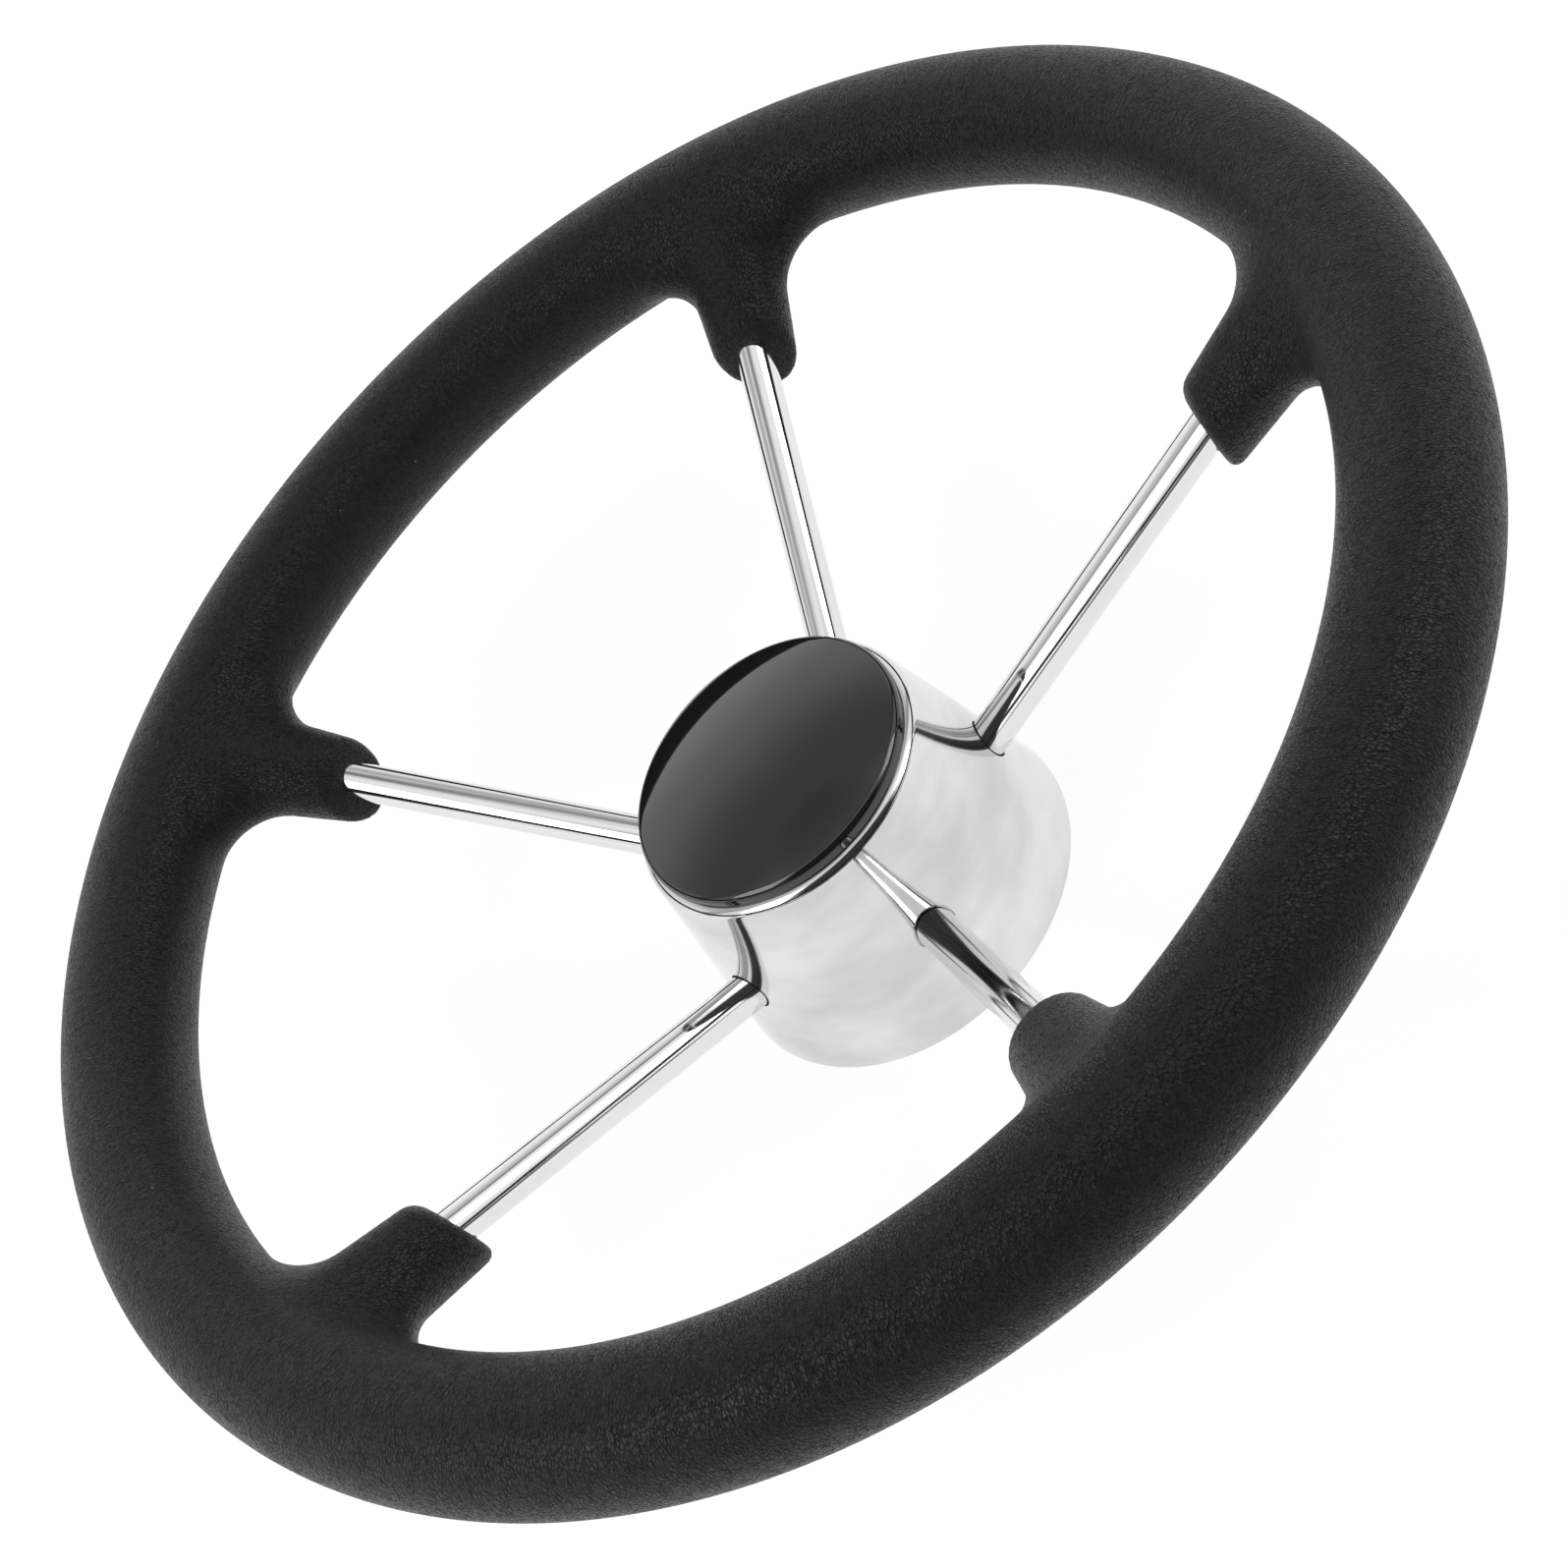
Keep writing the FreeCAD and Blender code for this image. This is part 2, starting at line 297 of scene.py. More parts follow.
def noise(tree, place, scale, detail=3.0, rough=0.55):
    node = add(tree, "ShaderNodeTexNoise", {"Vector": place, "Scale": scale, "Detail": detail, "Roughness": rough})
    return node.outputs["Fac"]


def tint(tree, share, low, high):
    """Colour between two, by a share."""
    node = add(tree, "ShaderNodeMix", data_type="RGBA")
    plug(tree, node.inputs[0], share)
    plug(tree, node.inputs[6], low)
    plug(tree, node.inputs[7], high)
    return node.outputs[2]


def squares(tree, *values):
    """Sum of the squares of two or more values."""
    total = calc(tree, "MULTIPLY", values[0], values[0])
    for value in values[1:]:
        total = calc(tree, "MULTIPLY_ADD", value, value, total)
    return total


wrinkle_width = 0.00066
wrinkle_length = 0.0013
grain_depth = 0.00044
pebble_share = 0.8
parting_share = 0.9
specks_per_metre = 85.0
foam, tree, surface, place = new_finish("moulded_foam")
axes = add(tree, "ShaderNodeSeparateXYZ", {0: place}).outputs
across = calc(tree, "SQRT", squares(tree, axes[0], axes[1]))
along = calc(tree, "MULTIPLY", calc(tree, "ARCTAN2", axes[1], axes[0]), ring_radius / wrinkle_width)
outwards = calc(tree, "MULTIPLY", across, 1 / wrinkle_length)
upwards = calc(tree, "MULTIPLY", axes[2], 1 / wrinkle_length)
unrolled = add(tree, "ShaderNodeCombineXYZ", {0: along, 1: outwards, 2: upwards}).outputs[0]
wander = add(tree, "ShaderNodeTexNoise", {"Vector": unrolled, "Scale": 0.9, "Detail": 2.0}).outputs["Color"]
wander = add(tree, "ShaderNodeVectorMath", {0: wander, 1: (0.9, 0.9, 0.9)}, operation="MULTIPLY").outputs[0]
bent = add(tree, "ShaderNodeVectorMath", {0: unrolled, 1: wander}, operation="ADD").outputs[0]
cells = add(tree, "ShaderNodeTexVoronoi", {"Vector": bent, "Scale": 1.0}, feature="DISTANCE_TO_EDGE")
# This crease mask shapes the grain's relief and roughness, and it also carries the painted shade in the creases.
crease_and_painted_shade = ramp(tree, cells.outputs["Distance"], 0.0, 0.17, 1.0, 0.0)
broken = ramp(tree, noise(tree, unrolled, 0.55, 2.0), 0.40, 0.60, 0.45, 1.0)
crease_and_painted_shade = calc(tree, "MULTIPLY", crease_and_painted_shade, broken)
pebbles = noise(tree, unrolled, 1.1, 2.0)
line_start = spoke_height_at_ring - boot_setback - ring_radius * spoke_rise
line_height = calc(tree, "MULTIPLY_ADD", across, spoke_rise, line_start)
off_line = calc(tree, "ABSOLUTE", calc(tree, "SUBTRACT", axes[2], line_height))
inner = calc(tree, "LESS_THAN", across, ring_radius - 0.002)
parting = calc(tree, "MULTIPLY", ramp(tree, off_line, 0.0001, 0.00035, 1.0, 0.0), inner)
skin = calc(tree, "SUBTRACT", calc(tree, "MULTIPLY", pebbles, pebble_share), crease_and_painted_shade)
skin = calc(tree, "ADD", skin, calc(tree, "MULTIPLY", parting, parting_share))
relief = add(tree, "ShaderNodeBump", {"Strength": 1.0, "Distance": grain_depth, "Height": skin})
specks = add(tree, "ShaderNodeTexVoronoi", {"Vector": place, "Scale": specks_per_metre})
dust = ramp(tree, specks.outputs["Distance"], 0.014, 0.02, 1.0, 0.0)
# The grain's creases are painted near black: painted shade in the creases, on top of their real relief and
# roughness.
shade = tint(tree, crease_and_painted_shade, grey(0.0118), grey(0.0010))
shade = tint(tree, dust, shade, grey(0.30))
plug(tree, surface.inputs["Base Color"], shade)
worn = ramp(tree, noise(tree, place, 40.0), 0.3, 0.7, 0.30, 0.36)
plug(tree, surface.inputs["Roughness"], calc(tree, "MULTIPLY_ADD", crease_and_painted_shade, 0.25, worn))
plug(tree, surface.inputs["Normal"], relief.outputs[0])
surface.inputs["Specular IOR Level"].default_value = 0.25

rule, size = new_rule("grip_skin", grip_sizes)
in_metres = add(rule, "GeometryNodeInputPosition").outputs[0]
spot = add(rule, "ShaderNodeVectorMath", {0: in_metres, 1: (1000, 1000, 1000)}, operation="MULTIPLY")
x, y, z = add(rule, "ShaderNodeSeparateXYZ", {0: spot.outputs[0]}).outputs


def step(operation, *values):
    """One step of the rule in hand."""
    return calc(rule, operation, *values)


def length_of(*values):
    """Root of the sum of the squares of two or more values."""
    return step("SQRT", squares(rule, *values))


radial = length_of(x, y)
half_share = step("DIVIDE", math.pi, size["Spokes"])
turned = step("SUBTRACT", step("ARCTAN2", y, x), size["First spoke"])
turned = step("WRAP", turned, half_share, step("MULTIPLY", half_share, -1.0))
out = step("MULTIPLY", radial, step("COSINE", turned))
side = step("MULTIPLY", radial, step("SINE", turned))
cover_out = step("SUBTRACT", radial, size["Ring radius"])
cover_up = step("SUBTRACT", z, size["Ring height"])
from_ring = length_of(cover_out, cover_up)
cover = step("SUBTRACT", from_ring, size["Grip radius"])
cosine = step("COSINE", size["Spoke slope"])
sine = step("SINE", size["Spoke slope"])
root_out = step("MULTIPLY_ADD", size["Boot setback"], sine, size["Ring radius"])
root_up = step("SUBTRACT", size["Spoke height at ring"], step("MULTIPLY", size["Boot setback"], cosine))
east = step("SUBTRACT", out, root_out)
north = step("SUBTRACT", z, root_up)
inward = step("MULTIPLY", step("ADD", step("MULTIPLY", east, cosine), step("MULTIPLY", north, sine)), -1.0)
front = step("SUBTRACT", step("MULTIPLY", north, cosine), step("MULTIPLY", east, sine))
taper = step("DIVIDE", step("MULTIPLY", inward, cosine), size["Boot reach"])
width_loss = step("SUBTRACT", size["Root half width"], size["Tip half width"])
depth_loss = step("SUBTRACT", size["Root half thickness"], size["Tip half width"])
width = step("SUBTRACT", size["Root half width"], step("MULTIPLY", taper, width_loss))
depth = step("SUBTRACT", size["Root half thickness"], step("MULTIPLY", taper, depth_loss))
side_share = step("DIVIDE", side, width)
front_share = step("DIVIDE", front, depth)
oval = length_of(side_share, front_share)
side_pull = step("DIVIDE", side_share, width)
front_pull = step("DIVIDE", front_share, depth)
pull = step("MAXIMUM", length_of(side_pull, front_pull), 0.000001)
wall = step("DIVIDE", step("MULTIPLY", oval, step("SUBTRACT", oval, 1.0)), pull)
tip_radius = step("SUBTRACT", size["Ring radius"], size["Boot reach"])
end_face = step("SUBTRACT", tip_radius, out)
near_wall = step("MAXIMUM", step("ADD", size["Tip rounding"], wall), 0.0)
near_end = step("MAXIMUM", step("ADD", size["Tip rounding"], end_face), 0.0)
flat = step("MINIMUM", step("MAXIMUM", wall, end_face), step("MULTIPLY", size["Tip rounding"], -1.0))
boot = step("ADD", flat, length_of(near_wall, near_end))
boot = step("MAXIMUM", boot, step("MULTIPLY", inward, -1.0))
side_lean = step("DIVIDE", side_pull, pull)
front_lean = step("DIVIDE", front_pull, pull)
lean_back = step("MULTIPLY", out, step("MULTIPLY", front_lean, sine))
lean_out = step("SUBTRACT", step("MULTIPLY", side, side_lean), lean_back)
lean_out = step("MULTIPLY", step("DIVIDE", cover_out, radial), lean_out)
lean_up = step("MULTIPLY", cover_up, step("MULTIPLY", front_lean, cosine))
likeness = step("DIVIDE", step("ADD", lean_out, lean_up), step("MAXIMUM", from_ring, 0.001))
likeness = step("MINIMUM", step("MAXIMUM", likeness, -0.96), 0.96)
spread = step("SUBTRACT", 1.0, step("MULTIPLY", likeness, likeness))
to_cover = step("SUBTRACT", size["Blend radius"], cover)
to_boot = step("SUBTRACT", size["Blend radius"], boot)
by_cover = step("SUBTRACT", to_cover, step("MULTIPLY", likeness, to_boot))
by_boot = step("SUBTRACT", to_boot, step("MULTIPLY", likeness, to_cover))
in_blend = step("MULTIPLY", step("GREATER_THAN", by_cover, 0.0), step("GREATER_THAN", by_boot, 0.0))
crossed = step("MULTIPLY", 2.0, step("MULTIPLY", likeness, step("MULTIPLY", to_cover, to_boot)))
ball = step("SQRT", step("DIVIDE", step("SUBTRACT", squares(rule, to_cover, to_boot), crossed), spread))
blend = step("SUBTRACT", size["Blend radius"], ball)
nearest = step("MINIMUM", cover, boot)
blended = step("MINIMUM", blend, nearest)
joined = step("ADD", nearest, step("MULTIPLY", in_blend, step("SUBTRACT", blended, nearest)))
# The volume holds nothing below zero, so its density is a set level at the skin, more inside and less outside.
skin_level = 10.0
voxel = 0.00122
low = (-0.1755, -0.1755, 0.0460)
high = (0.1755, 0.1755, 0.0970)
density = step("SUBTRACT", skin_level, joined)
cube = add(rule, "GeometryNodeVolumeCube", {"Density": density, "Background": 0.0, "Min": low, "Max": high})
for axis, start, end in zip("XYZ", low, high):
    cube.inputs["Resolution " + axis].default_value = round((end - start) / voxel)
skin_mesh = add(rule, "GeometryNodeVolumeToMesh", {"Volume": cube.outputs[0], "Threshold": skin_level})
smooth = add(rule, "GeometryNodeSetShadeSmooth", {0: skin_mesh.outputs[0]})
painted = add(rule, "GeometryNodeSetMaterial", {0: smooth.outputs[0], "Material": foam})
add(rule, "NodeGroupOutput", {0: painted.outputs[0]})
grip = made_by(rule, "moulded_grip", grip_sizes)
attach(grip, "wheel")
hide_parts("foam_grip")

# Spokes: solid stainless bars, ground and buffed to a mirror, and welded to the boss and to the ring.
# The five are alike, so one bar and its weld bead at the boss are each set round the shaft five times.
boss_radius = 0.018025
spoke_height_at_boss = 0.0143
bead_spread = 0.45
bead_stand = 0.75
spoke_sizes = {
    "Bar radius": 0.0045,
    "Bar start": 0.0178,
    "Bar end": 0.1512,
    "Boss radius": boss_radius,
    "Height at boss": spoke_height_at_boss,
    "Slope": spoke_slope,
    "Bead radius": 0.0018,
    "Ripples": 26.0,
    "Ripple height": 0.00013,
    "First spoke": first_spoke,
    "Spokes": float(spoke_count),
}

buffed, tree, surface, place = new_finish("buffed_steel")
bar_place = add(tree, "ShaderNodeAttribute", attribute_name="bar_place").outputs["Vector"]
stretched = add(tree, "ShaderNodeMapping", {"Vector": bar_place, "Scale": (1.0, 1.0, 0.04)}).outputs[0]
lines = noise(tree, stretched, 900.0, 2.0)
waves = noise(tree, stretched, 160.0, 1.0)
height = calc(tree, "MULTIPLY_ADD", waves, 4.0, lines)
relief = add(tree, "ShaderNodeBump", {"Strength": 0.10, "Distance": 0.00005, "Height": height})
plug(tree, surface.inputs["Base Color"], tint(tree, noise(tree, place, 60.0), grey(0.74), grey(0.82)))
plug(tree, surface.inputs["Roughness"], ramp(tree, lines, 0.3, 0.7, 0.05, 0.09))
plug(tree, surface.inputs["Normal"], relief.outputs[0])
surface.inputs["Metallic"].default_value = 1.0

weld, tree, surface, place = new_finish("weld_bead")
blotches = noise(tree, place, 300.0)
plug(tree, surface.inputs["Base Color"], tint(tree, blotches, (0.30, 0.27, 0.24, 1.0), (0.52, 0.50, 0.48, 1.0)))
plug(tree, surface.inputs["Roughness"], ramp(tree, blotches, 0.3, 0.7, 0.28, 0.5))
surface.inputs["Metallic"].default_value = 1.0

rule, size = new_rule("spokes_round_boss", spoke_sizes)
cosine = step("COSINE", size["Slope"])
length = step("DIVIDE", step("SUBTRACT", size["Bar end"], size["Bar start"]), cosine)
bar = {"Vertices": 96, "Side Segments": 24, "Radius": size["Bar radius"], "Depth": length}
rod = add(rule, "GeometryNodeMeshCylinder", bar)
on_bar = add(rule, "GeometryNodeInputPosition").outputs[0]
mark = {0: rod.outputs[0], "Name": "bar_place", "Value": on_bar}
marked = add(rule, "GeometryNodeStoreNamedAttribute", mark, data_type="FLOAT_VECTOR", domain="POINT")
lean = add(rule, "ShaderNodeCombineXYZ", {1: step("SUBTRACT", math.pi / 2, size["Slope"])}).outputs[0]


def on_spoke(radius):
    """Point of a spoke's centre line at a distance from the shaft's axis."""
    rise = step("MULTIPLY", step("SUBTRACT", radius, size["Boss radius"]), step("TANGENT", size["Slope"]))
    return add(rule, "ShaderNodeCombineXYZ", {0: radius, 2: step("ADD", rise, size["Height at boss"])}).outputs[0]


middle = step("MULTIPLY", step("ADD", size["Bar start"], size["Bar end"]), 0.5)
rod = add(rule, "GeometryNodeTransform", {0: marked.outputs[0], "Translation": on_spoke(middle), "Rotation": lean})
path_radius = step("MULTIPLY_ADD", size["Bead radius"], bead_spread, size["Bar radius"])
bead_path = add(rule, "GeometryNodeCurvePrimitiveCircle", {"Resolution": 96, "Radius": path_radius})
bead_section = add(rule, "GeometryNodeCurvePrimitiveCircle", {"Resolution": 16, "Radius": size["Bead radius"]})
bead = add(rule, "GeometryNodeCurveToMesh", {0: bead_path.outputs[0], 1: bead_section.outputs[0]})
bead_spot = add(rule, "GeometryNodeInputPosition").outputs[0]
bead_axes = add(rule, "ShaderNodeSeparateXYZ", {0: bead_spot}).outputs
ripple = step("SINE", step("MULTIPLY", step("ARCTAN2", bead_axes[1], bead_axes[0]), size["Ripples"]))
swell = step("MULTIPLY", ripple, size["Ripple height"])
outward = add(rule, "GeometryNodeInputNormal").outputs[0]
push = add(rule, "ShaderNodeVectorMath", {0: outward, "Scale": swell}, operation="SCALE").outputs[0]
bead = add(rule, "GeometryNodeSetPosition", {0: bead.outputs[0], "Offset": push})
foot = step("MULTIPLY_ADD", size["Bead radius"], bead_stand, size["Boss radius"])
bead = add(rule, "GeometryNodeTransform", {0: bead.outputs[0], "Translation": on_spoke(foot), "Rotation": lean})


def set_round(one, count, per_turn, first, finish):
    """Copies of one thing set evenly round the shaft, realised and given their finish."""
    share = step("DIVIDE", 2 * math.pi, per_turn)
    turned = step("MULTIPLY_ADD", add(rule, "GeometryNodeInputIndex").outputs[0], share, first)
    round_shaft = add(rule, "ShaderNodeCombineXYZ", {2: turned}).outputs[0]
    stations = add(rule, "GeometryNodePoints", {"Count": count}).outputs[0]
    placed = {"Points": stations, "Instance": one, "Rotation": round_shaft}
    copies = add(rule, "GeometryNodeInstanceOnPoints", placed)
    whole = add(rule, "GeometryNodeRealizeInstances", {0: copies.outputs[0]})
    return add(rule, "GeometryNodeSetMaterial", {0: whole.outputs[0], "Material": finish}).outputs[0]


joined = add(rule, "GeometryNodeJoinGeometry")
for made, finish in ((rod, buffed), (bead, weld)):
    smooth = add(rule, "GeometryNodeSetShadeSmooth", {0: made.outputs[0]}).outputs[0]
    five = set_round(smooth, spoke_count, size["Spokes"], size["First spoke"], finish)
    rule.links.new(five, joined.inputs[0])
add(rule, "NodeGroupOutput", {0: joined.outputs[0]})
spokes = made_by(rule, "buffed_spokes", spoke_sizes)
spokes.data.set_sharp_from_angle(angle=math.radians(50))
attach(spokes, "wheel")
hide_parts(*["spoke_" + str(number + 1) for number in range(spoke_count)])


# Hub shell: sheet stainless spun to a cone and polished, with its front edge rolled in to a lip.
# Each spoke goes through a tight hole in its wall, and the back is open.
hub_height = 0.0528
hub_front = 0.0344
hub_draft = math.radians(10.03)
hub_back = hub_front + hub_height * math.tan(hub_draft)
hub_wall = 0.0015
hub_roll = 0.0025
hub_lip = 0.0294
hub_back_round = 0.0006
spoke_hole = 0.0049
longest_side = 0.0022


def rounded(corners, steps=8):
    """Outline of (radius, height) points from corners of (radius, height, rounding), with its long sides cut up."""
    outline = []
    count = len(corners)
    for index, (radius, height, rounding) in enumerate(corners):
        here = Vector((radius, height))
        if rounding == 0:
            outline.append(here)
            continue
        before = (Vector(corners[index - 1][:2]) - here).normalized()
        after = (Vector(corners[(index + 1) % count][:2]) - here).normalized()
        half = before.angle(after) / 2
        centre = here + (before + after).normalized() * (rounding / math.sin(half))
        start = here + before * (rounding / math.tan(half)) - centre
        end = here + after * (rounding / math.tan(half)) - centre
        sweep = start.angle_signed(end)
        for number in range(steps + 1):
            outline.append(centre + Matrix.Rotation(-sweep * number / steps, 2) @ start)
    cut = []
    for index, point in enumerate(outline):
        following = outline[(index + 1) % len(outline)]
        parts = max(1, round((following - point).length / longest_side))
        cut += [point.lerp(following, number / parts) for number in range(parts)]
    return cut


def spun(name, outline, closed=True, around=256):
    """Mesh of revolution about the shaft, with its faces outwards and its hard corners kept sharp."""
    shape = bmesh.new()
    rows = []
    for point in outline:
        if point.x < 1e-7:
            rows.append([shape.verts.new((0.0, 0.0, point.y))])
            continue
        turns = [2 * math.pi * number / around for number in range(around)]
        rows.append([shape.verts.new((point.x * math.cos(a), point.x * math.sin(a), point.y)) for a in turns])
    pairs = list(zip(rows, rows[1:])) + ([(rows[-1], rows[0])] if closed else [])
    for one_row, next_row in pairs:
        for number in range(around):
            after = (number + 1) % around
            if len(one_row) == 1 and len(next_row) == 1:
                break
            if len(one_row) == 1:
                shape.faces.new((one_row[0], next_row[after], next_row[number]))
            elif len(next_row) == 1:
                shape.faces.new((one_row[number], one_row[after], next_row[0]))
            else:
                shape.faces.new((one_row[number], one_row[after], next_row[after], next_row[number]))
    bmesh.ops.recalc_face_normals(shape, faces=shape.faces)
    for face in shape.faces:
        face.smooth = True
    mesh = bpy.data.meshes.new(name)
    shape.to_mesh(mesh)
    shape.free()
    mesh.set_sharp_from_angle(angle=math.radians(35))
    piece = bpy.data.objects.new(name, mesh)
    bpy.context.scene.collection.objects.link(piece)
    return piece


across_wall = hub_wall / math.cos(hub_draft)
inside_top = hub_front + hub_wall * math.tan(hub_draft) - across_wall
shell_outline = rounded(
    [
        (hub_back, 0.0, hub_back_round),
        (hub_front, hub_height, hub_roll),
        (hub_lip, hub_height, 0.0004),
        (hub_lip, hub_height - hub_wall, 0.0004),
        (inside_top, hub_height - hub_wall, hub_roll - hub_wall),
        (hub_back - across_wall, 0.0, 0.0003),
    ]
)
hub = spun("polished_hub", shell_outline)
plain_hub = spun("hub_before_holes", shell_outline)

polished, tree, surface, place = new_finish("polished_sheet")
round_hub = add(tree, "ShaderNodeMapping", {"Vector": place, "Scale": (1.0, 1.0, 6.0)}).outputs[0]
streaks = add(tree, "ShaderNodeMapping", {"Vector": place, "Scale": (1.0, 1.0, 2.2)}).outputs[0]
haze = noise(tree, streaks, 24.0, 3.5)
rub = noise(tree, round_hub, 700.0, 2.0)
height = calc(tree, "MULTIPLY_ADD", haze, 3.0, rub)
relief = add(tree, "ShaderNodeBump", {"Strength": 0.10, "Distance": 0.00004, "Height": height})
plug(tree, surface.inputs["Base Color"], tint(tree, ramp(tree, haze, 0.32, 0.68), grey(0.60), grey(0.78)))
plug(tree, surface.inputs["Roughness"], ramp(tree, haze, 0.3, 0.7, 0.06, 0.12))
plug(tree, surface.inputs["Normal"], relief.outputs[0])
surface.inputs["Metallic"].default_value = 1.0
hub.data.materials.append(polished)

# The walls of the spoke holes are painted near black: painted shade in the thin gap round each spoke, standing for
# the dark inside of the hub.
hole_shade_finish, tree, surface, place = new_finish("painted_hole_shade")
hole_wall_mottle = noise(tree, place, 900.0)
relief = add(tree, "ShaderNodeBump", {"Strength": 0.5, "Distance": 0.0001, "Height": hole_wall_mottle})
plug(tree, surface.inputs["Base Color"], tint(tree, hole_wall_mottle, grey(0.006), grey(0.012)))
plug(tree, surface.inputs["Roughness"], ramp(tree, hole_wall_mottle, 0.3, 0.7, 0.45, 0.65))
plug(tree, surface.inputs["Normal"], relief.outputs[0])

cutter_length = 0.03
cutter_radius = 0.5 * (hub_front + hub_back) - 0.002
cutter_height = spoke_height_at_boss + (cutter_radius - boss_radius) * spoke_rise
cutters = bmesh.new()
for number in range(spoke_count):
    angle = first_spoke + number * 2 * math.pi / spoke_count
    spot = Vector((cutter_radius * math.cos(angle), cutter_radius * math.sin(angle), cutter_height))
    line = Vector(towards(math.degrees(angle), math.degrees(spoke_slope)))
    stance = Matrix.Translation(spot) @ line.to_track_quat("Z", "Y").to_matrix().to_4x4()
    bmesh.ops.create_cone(
        cutters,
        cap_ends=True,
        segments=96,
        radius1=spoke_hole,
        radius2=spoke_hole,
        depth=cutter_length,
        matrix=stance,
    )
cutter_mesh = bpy.data.meshes.new("hole_cutters")
cutters.to_mesh(cutter_mesh)
cutters.free()
# The hole walls that the cutters leave take this painted shade.
cutter_mesh.materials.append(hole_shade_finish)
cutter = bpy.data.objects.new("hole_cutters", cutter_mesh)
bpy.context.scene.collection.objects.link(cutter)
drill = hub.modifiers.new("drill", "BOOLEAN")
drill.object = cutter
drill.operation = "DIFFERENCE"
drill.solver = "EXACT"
drill.material_mode = "TRANSFER"
shine = hub.modifiers.new("even_shine", "DATA_TRANSFER")
shine.object = plain_hub
shine.use_loop_data = True
shine.data_types_loops = {"CUSTOM_NORMAL"}
shine.loop_mapping = "POLYINTERP_NEAREST"
bpy.context.view_layer.update()
drilled = bpy.data.meshes.new_from_object(hub.evaluated_get(bpy.context.evaluated_depsgraph_get()))
hub.modifiers.clear()
hub.data = drilled
for spare in (cutter, plain_hub):
    bpy.data.objects.remove(spare, do_unlink=True)

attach(hub, "wheel")
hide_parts("hub_shell")

# Boss, plate and ring: plain stainless inside the hub and the grip, as it leaves the lathe and the bender.
# The boss has the tapered, keyed bore, and the plate ties it to the shell.
lathe, tree, surface, place = new_finish("turned_steel")
axes = add(tree, "ShaderNodeSeparateXYZ", {0: place}).outputs
grooves_per_metre = 4200.0
across = calc(tree, "SQRT", squares(tree, axes[0], axes[1]))
radial_feed = calc(tree, "MULTIPLY", across, grooves_per_metre)
long_feed = calc(tree, "MULTIPLY", axes[2], grooves_per_metre)
feed = add(tree, "ShaderNodeCombineXYZ", {0: radial_feed, 1: long_feed}).outputs[0]
grooves = noise(tree, feed, 1.0, 2.0)
stain = noise(tree, place, 90.0, 4.0)
relief = add(tree, "ShaderNodeBump", {"Strength": 0.35, "Distance": 0.00003, "Height": grooves})
plug(tree, surface.inputs["Base Color"], tint(tree, stain, grey(0.46), grey(0.60)))
plug(tree, surface.inputs["Roughness"], ramp(tree, grooves, 0.3, 0.7, 0.24, 0.38))
plug(tree, surface.inputs["Normal"], relief.outputs[0])
surface.inputs["Metallic"].default_value = 1.0
for name in ("hub_boss", "hub_plate", "rim_ring"):
    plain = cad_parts[name]
    if not plain.material_slots:
        plain.data.materials.append(lathe)
    for material_slot in plain.material_slots:
        material_slot.material = lathe

# Centre cap: black plastic, moulded in one piece with a gloss face and six spring fingers.
# It sits on the hub's lip, and its fingers reach down through the opening with a small bead at each foot.
cap_radius = 0.0330
cap_base = hub_height
cap_edge = 0.0557
cap_crown = 0.0611
cap_round = 0.0020
cap_wall = 0.002
finger_outside = 0.02895
finger_inside = 0.02735
finger_foot = cap_base - 0.007
finger_root = cap_base + 0.001
finger_bead = 0.0003
finger_count = 6
slot_width = 0.005
dome_radius = (cap_radius ** 2 + (cap_crown - cap_edge) ** 2) / (2 * (cap_crown - cap_edge))
dome_centre = cap_crown - dome_radius


def dome(radius, inset=0.0):
    """Height of the cap's domed face, or of the pocket an inset below it, at a distance from its centre."""
    return dome_centre + math.sqrt((dome_radius - inset) ** 2 - radius ** 2)


face_share = 0.93
top = [(cap_radius * share, dome(cap_radius * share), 0.0) for share in np.linspace(face_share, 0.0, 32)]
reaches = [finger_inside * share for share in np.linspace(0.0, 1.0, 12)]
pocket = [(reach, dome(reach, cap_wall), 0.0) for reach in reaches]
shelf = [(finger_inside, cap_base, 0.0), (finger_outside, cap_base, 0.0)]
rim = [(cap_radius, cap_base, 0.0003), (cap_radius, dome(cap_radius), cap_round)]
cap = spun("gloss_cap", rounded(pocket + shelf + rim + top, 12), closed=False)

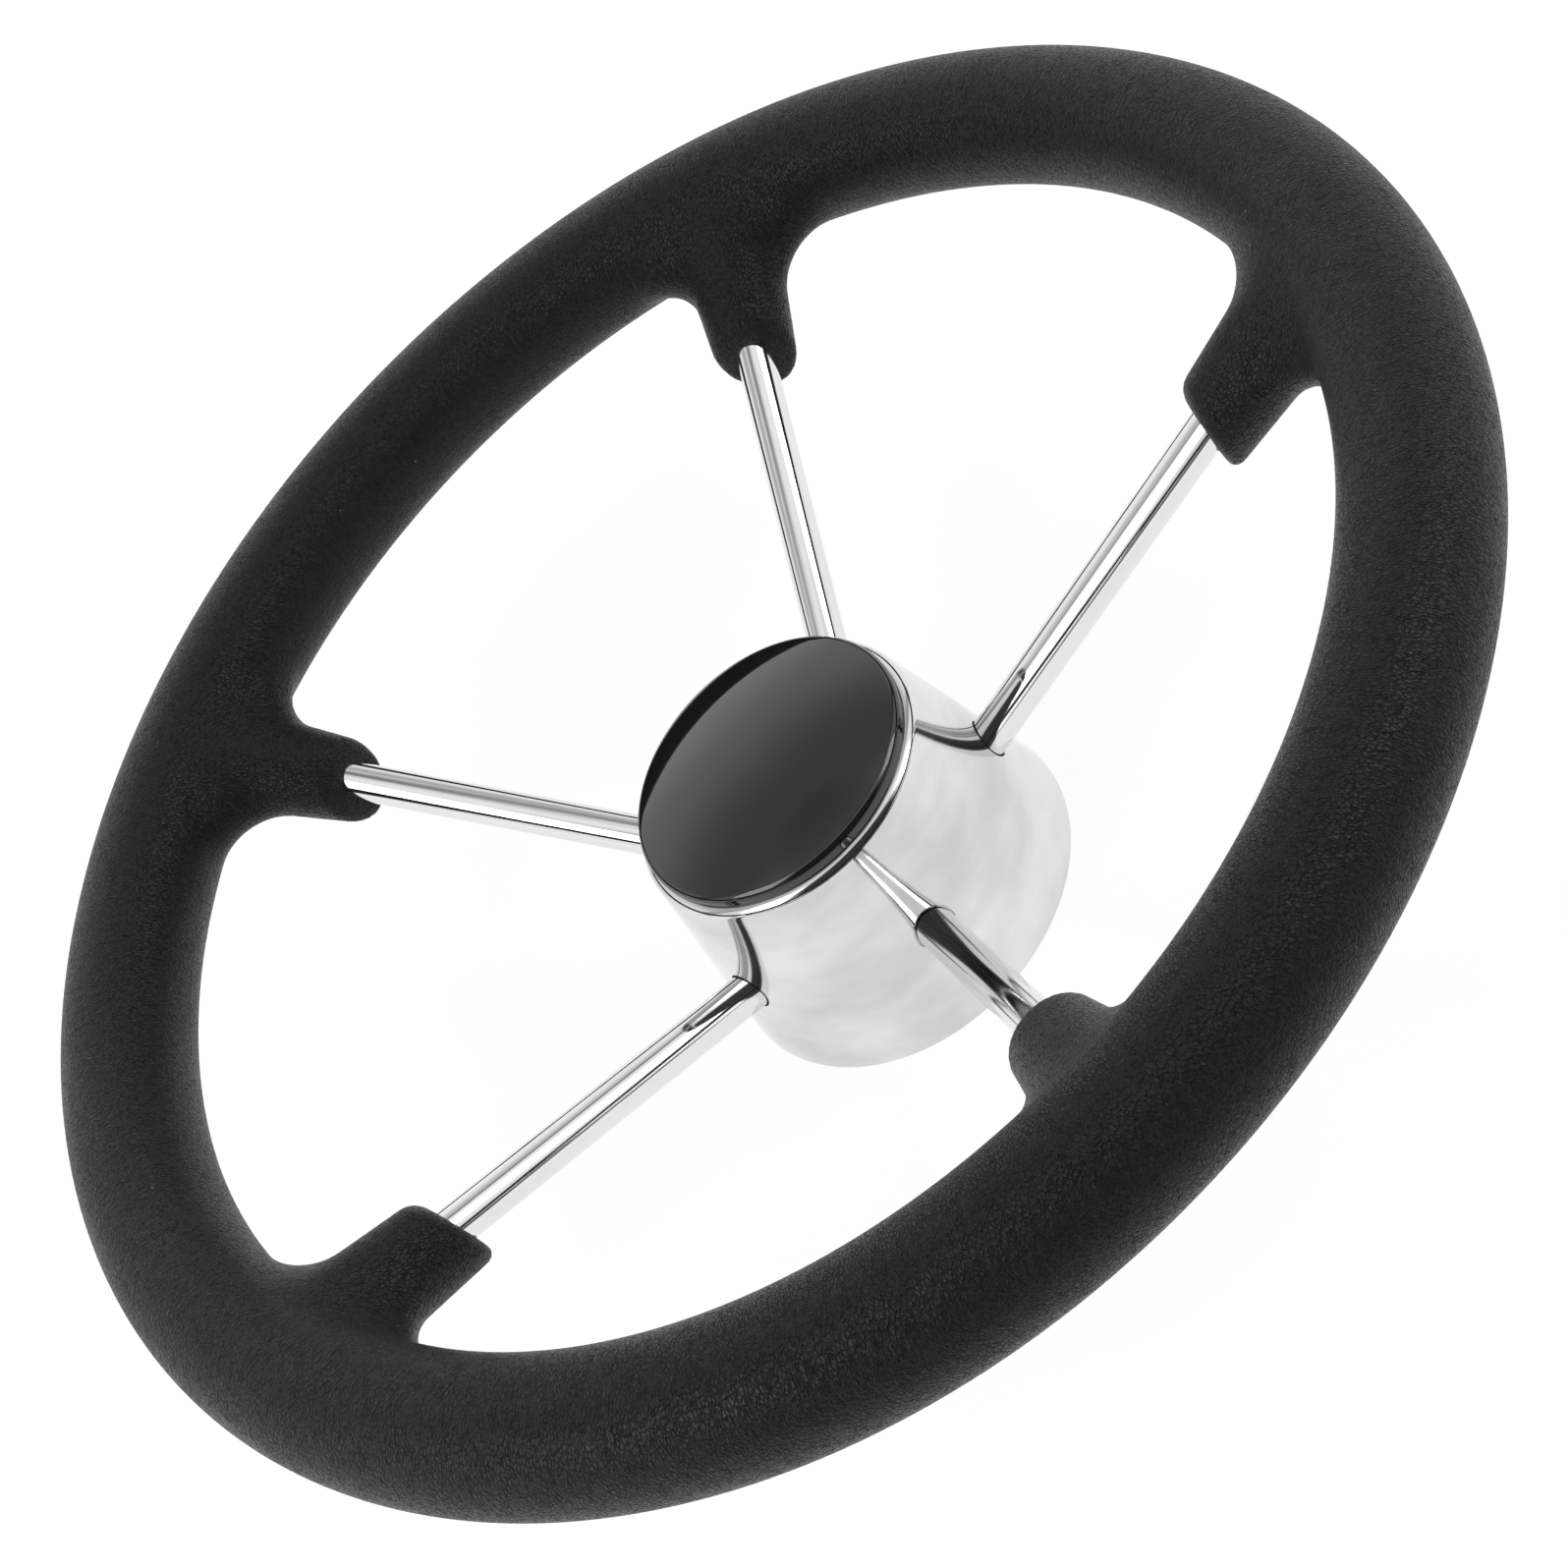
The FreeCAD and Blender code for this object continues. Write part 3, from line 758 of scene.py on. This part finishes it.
finger_outline = [
    (finger_inside, finger_root),
    (finger_inside, finger_foot),
    (finger_outside - finger_bead, finger_foot),
    (finger_outside + finger_bead, finger_foot + 0.0008),
    (finger_outside + finger_bead, finger_foot + 0.0016),
    (finger_outside, finger_foot + 0.0019),
    (finger_outside, finger_root),
]
half_arc = math.pi / finger_count - math.asin(slot_width / 2 / finger_outside)
finger = bmesh.new()
arcs = 20
columns = []
for number in range(arcs + 1):
    angle = half_arc * (2 * number / arcs - 1)
    columns.append([finger.verts.new((r * math.cos(angle), r * math.sin(angle), h)) for r, h in finger_outline])
for one_column, next_column in zip(columns, columns[1:]):
    for number in range(len(finger_outline)):
        after = (number + 1) % len(finger_outline)
        finger.faces.new((one_column[number], one_column[after], next_column[after], next_column[number]))
finger.faces.new(columns[0])
finger.faces.new(columns[-1])
bmesh.ops.recalc_face_normals(finger, faces=finger.faces)
finger_mesh = bpy.data.meshes.new("finger")
finger.to_mesh(finger_mesh)
finger.free()

gloss, tree, surface, place = new_finish("gloss_plastic")
wiped = {"Vector": place, "Rotation": (0.0, 0.0, 0.7), "Scale": (1.0, 14.0, 1.0)}
swirl = add(tree, "ShaderNodeMapping", wiped).outputs[0]
hairlines = ramp(tree, noise(tree, swirl, 220.0, 3.0), 0.66, 0.74)
clouds = noise(tree, place, 45.0, 3.0)
relief = add(tree, "ShaderNodeBump", {"Strength": 0.05, "Distance": 0.00002, "Height": hairlines})
plug(tree, surface.inputs["Base Color"], tint(tree, clouds, grey(0.0085), grey(0.0115)))
gleam = ramp(tree, clouds, 0.3, 0.7, 0.03, 0.06)
plug(tree, surface.inputs["Roughness"], calc(tree, "MULTIPLY_ADD", hairlines, 0.05, gleam))
plug(tree, surface.inputs["Normal"], relief.outputs[0])
surface.inputs["IOR"].default_value = 1.65

finger_sizes = {"Fingers": float(finger_count), "First finger": math.pi / finger_count}
rule, size = new_rule("fingers_round_cap", finger_sizes)
ring_of_fingers = set_round(size["Mesh"], finger_count, size["Fingers"], size["First finger"], gloss)
add(rule, "NodeGroupOutput", {0: ring_of_fingers})
fingers = made_by(rule, "cap_fingers", finger_sizes, finger_mesh)
cap.data.materials.append(gloss)
for piece in (cap, fingers):
    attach(piece, "cap")
    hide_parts("centre_cap")
